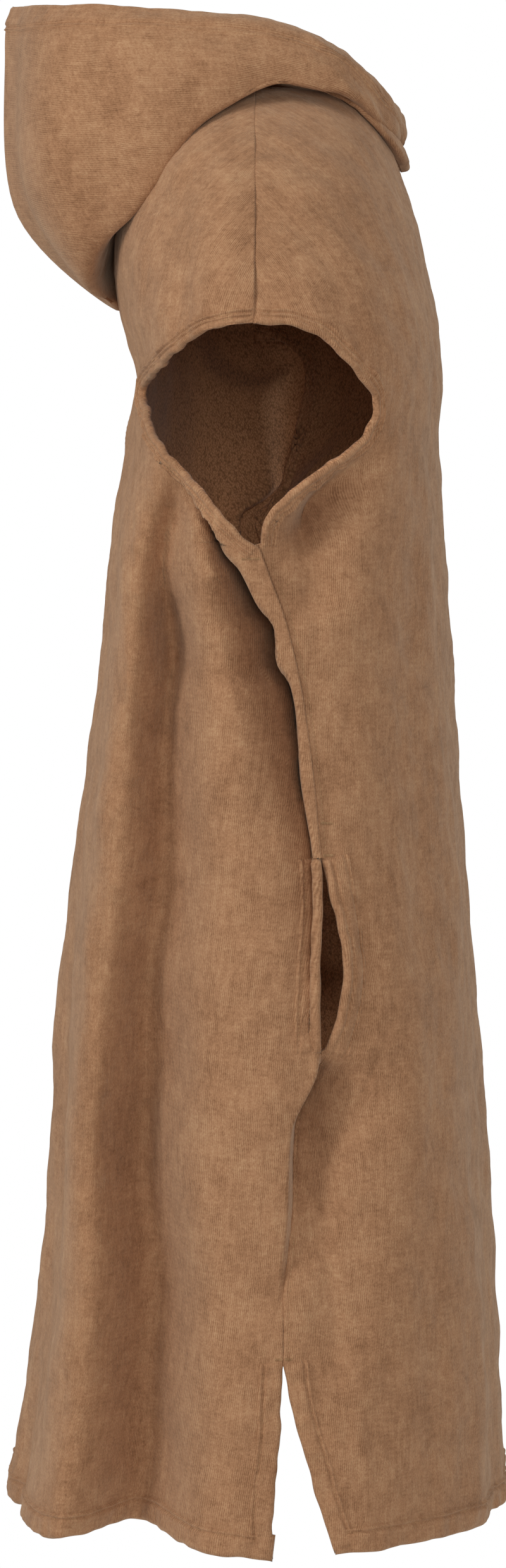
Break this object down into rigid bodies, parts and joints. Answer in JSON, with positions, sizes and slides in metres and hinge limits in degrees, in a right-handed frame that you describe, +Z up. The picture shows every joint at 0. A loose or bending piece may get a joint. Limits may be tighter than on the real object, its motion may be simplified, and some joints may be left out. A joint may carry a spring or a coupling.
{
  "type": "hooded bath poncho",
  "caption": "Knee-length terry bath poncho with a hood worn down, open armholes, a hand slit and a hem vent in each side seam.",
  "frame": {"origin": "middle of the neck, level with the neck ends of the shoulder seams, where the wearer's shoulders and neck hold the garment", "axes": "the wearer faces -Y, the wearer's right is -X, +Z is up; the garment hangs down along -Z"},
  "size_m": [0.5938, 0.3872, 1.1466],
  "materials": {
    "terry_velour": "matt cotton terry, sheared outside and looped inside, tan brown"
  },
  "bodies": {
    "root": {"front_panel": "terry_velour", "back_panel": "terry_velour", "hood_right": "terry_velour", "hood_left": "terry_velour"}
  },
  "joints": []
}
